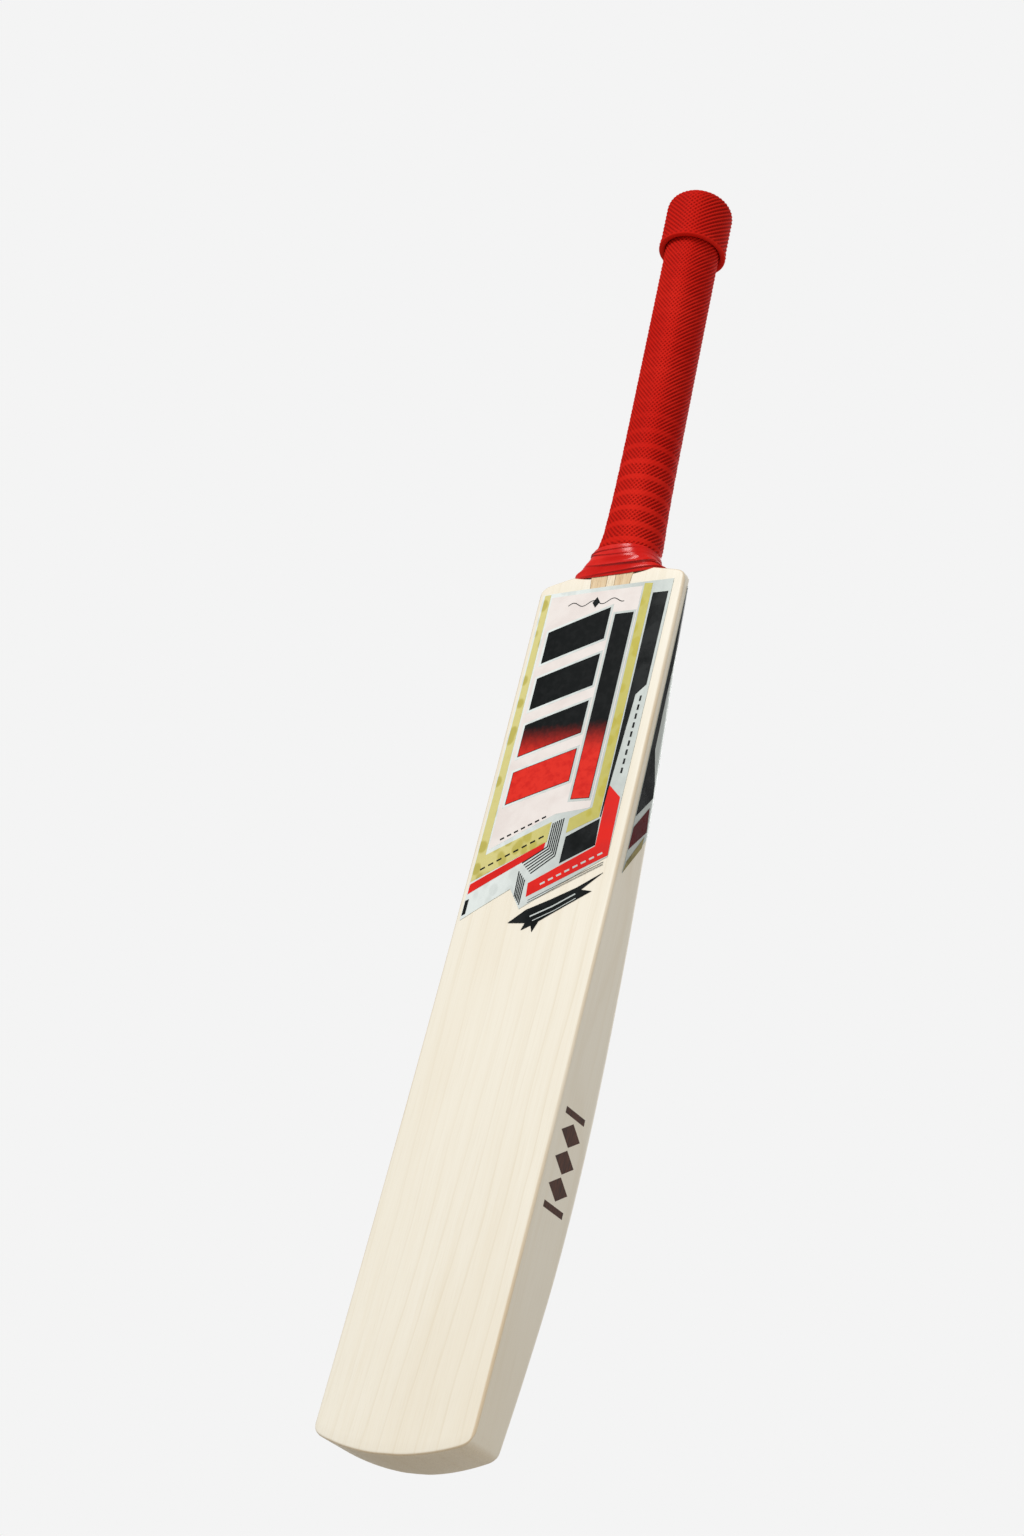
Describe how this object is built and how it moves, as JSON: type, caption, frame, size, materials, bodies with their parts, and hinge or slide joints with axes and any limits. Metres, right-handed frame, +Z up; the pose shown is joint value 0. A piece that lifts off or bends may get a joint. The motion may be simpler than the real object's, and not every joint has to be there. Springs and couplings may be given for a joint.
{
  "type": "cricket bat",
  "caption": "Full-size cricket bat: flat-faced willow blade with a spine and round toe, spliced cane handle, and a red rubber grip with a thick end cuff.",
  "frame": {"origin": "on the floor under the middle of the bat's bounding box, at the lowest point of the toe", "axes": "+Z up the bat from the toe to the end of the handle, -Y out of the striking face, +X to the right-hand edge seen from the front"},
  "size_m": [0.109, 0.0948, 0.8575],
  "materials": {
    "willow": "polished raw willow, pale with fine straight grain",
    "cane": "smooth cane, straw coloured",
    "spring_rubber": "matt dark rubber sheet",
    "twine": "glued linen twine",
    "grip_rubber": "matt red rubber with a raised net pattern",
    "tape_film": "glossy stretched red film",
    "label_film": "printed sticker film with foil details",
    "dark_film": "printed black sticker film"
  },
  "bodies": {
    "root": {"blade": "willow", "cane_front_left": "cane", "cane_front_middle": "cane", "cane_front_right": "cane", "cane_inner_front_left": "cane", "cane_inner_front_middle": "cane", "cane_inner_front_right": "cane", "cane_inner_back_left": "cane", "cane_inner_back_middle": "cane", "cane_inner_back_right": "cane", "cane_back_left": "cane", "cane_back_middle": "cane", "cane_back_right": "cane", "rubber_spring_front": "spring_rubber", "rubber_spring_centre": "spring_rubber", "rubber_spring_back": "spring_rubber", "twine_binding": "twine", "grip_sleeve": "grip_rubber", "grip_cuff": "grip_rubber", "grip_tape": "tape_film", "face_label": "label_film", "flash_sticker": "dark_film", "back_label": "label_film", "edge_sticker_right": "dark_film", "edge_sticker_left": "dark_film"}
  },
  "joints": []
}
